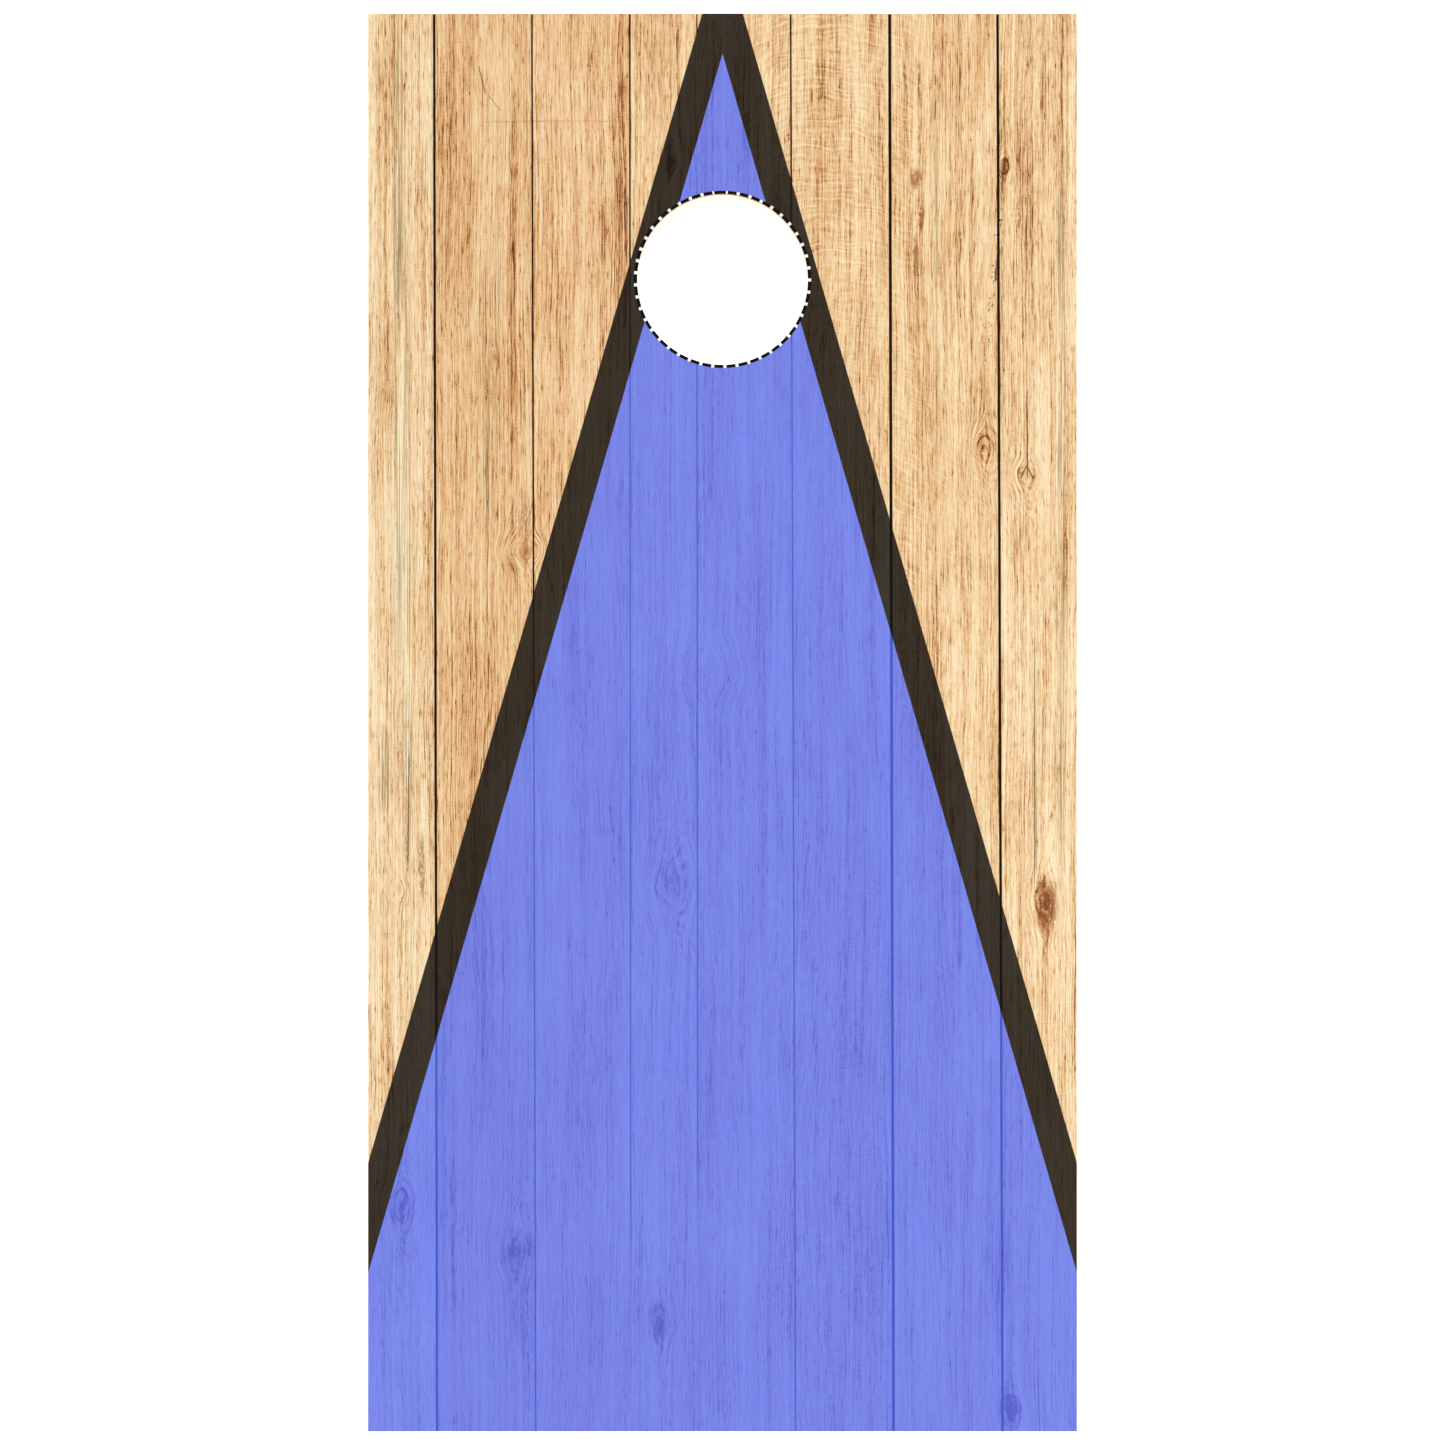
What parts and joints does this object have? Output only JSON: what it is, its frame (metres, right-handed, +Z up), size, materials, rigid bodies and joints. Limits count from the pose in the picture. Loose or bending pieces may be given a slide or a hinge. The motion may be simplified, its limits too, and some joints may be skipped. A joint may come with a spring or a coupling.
{
  "type": "cornhole board",
  "caption": "Sloped lawn-game target board with a round bag hole, plank-faced wooden deck, triangle decal, lumber frame and folding rear legs held by wing nuts.",
  "frame": {"origin": "on the ground, in the middle between the front and rear ends and between the sides", "axes": "+X to the right seen from the front, +Y from the low front edge towards the high rear edge, +Z up from the ground that the front edge and the feet stand on"},
  "size_m": [0.6096, 1.219, 0.305],
  "materials": {
    "core_plywood": "sanded birch plywood, plies showing on the edges, clear coat",
    "face_wood": "light straw-brown hardwood planks with knots, streaks and curl, satin clear coat",
    "blue_vinyl": "translucent periwinkle-blue vinyl film, the wood's seams show through",
    "smoke_vinyl": "translucent smoke-dark vinyl film, the wood's grain shows through",
    "white_vinyl": "white vinyl film",
    "black_vinyl": "black vinyl film",
    "frame_lumber": "planed pine with eased edges, clear coat",
    "leg_lumber": "planed pine, clear coat",
    "screw_steel": "yellow zinc plate",
    "zinc_steel": "bright zinc plate"
  },
  "bodies": {
    "board": {"deck_core": "core_plywood", "face_plank_1": "face_wood", "face_plank_2": "face_wood", "face_plank_3": "face_wood", "face_plank_4": "face_wood", "face_plank_5": "face_wood", "face_plank_6": "face_wood", "face_plank_7": "face_wood", "face_plank_8": "face_wood", "triangle_decal": "blue_vinyl", "border_decal": "smoke_vinyl", "ring_decal": "white_vinyl", "ring_decal_dashes": "black_vinyl", "front_rail": "frame_lumber", "rear_rail": "frame_lumber", "side_rail_left": "frame_lumber", "side_rail_right": "frame_lumber", "mid_brace": "frame_lumber", "deck_screws": "screw_steel", "frame_screws": "screw_steel", "carriage_bolt_left": "zinc_steel", "carriage_bolt_right": "zinc_steel", "spacer_washer_left": "zinc_steel", "spacer_washer_right": "zinc_steel"},
    "leg_frame": {"leg_left": "leg_lumber", "leg_right": "leg_lumber", "leg_crossbar": "leg_lumber", "leg_screws": "screw_steel"},
    "clamp_left": {"clamp_washer_left": "zinc_steel"},
    "nut_left": {"wing_nut_left": "zinc_steel"},
    "clamp_right": {"clamp_washer_right": "zinc_steel"},
    "nut_right": {"wing_nut_right": "zinc_steel"}
  },
  "joints": [
    {"name": "leg_fold", "type": "hinge", "parent": "board", "child": "leg_frame", "pos_m": [0, 0.5217, 0.23478], "axis": [-1, 0, 0], "range_deg": [0, 90]},
    {"name": "clamp_left_slide", "type": "slide", "parent": "board", "child": "clamp_left", "axis": [1, 0, 0], "range_m": [0, 0.00635]},
    {"name": "wing_nut_left_spin", "type": "hinge", "parent": "clamp_left", "child": "nut_left", "pos_m": [-0.235, 0.5217, 0.23478], "axis": [1, 0, 0], "range_deg": [0, 1441]},
    {"name": "clamp_right_slide", "type": "slide", "parent": "board", "child": "clamp_right", "axis": [-1, 0, 0], "range_m": [0, 0.00635]},
    {"name": "wing_nut_right_spin", "type": "hinge", "parent": "clamp_right", "child": "nut_right", "pos_m": [0.235, 0.5217, 0.23478], "axis": [-1, 0, 0], "range_deg": [0, 1441]}
  ],
  "couplings": [
    {"joint": "wing_nut_left_spin", "follows": "clamp_left_slide", "rad_per_m": 3957.9},
    {"joint": "wing_nut_right_spin", "follows": "clamp_right_slide", "rad_per_m": 3957.9}
  ]
}
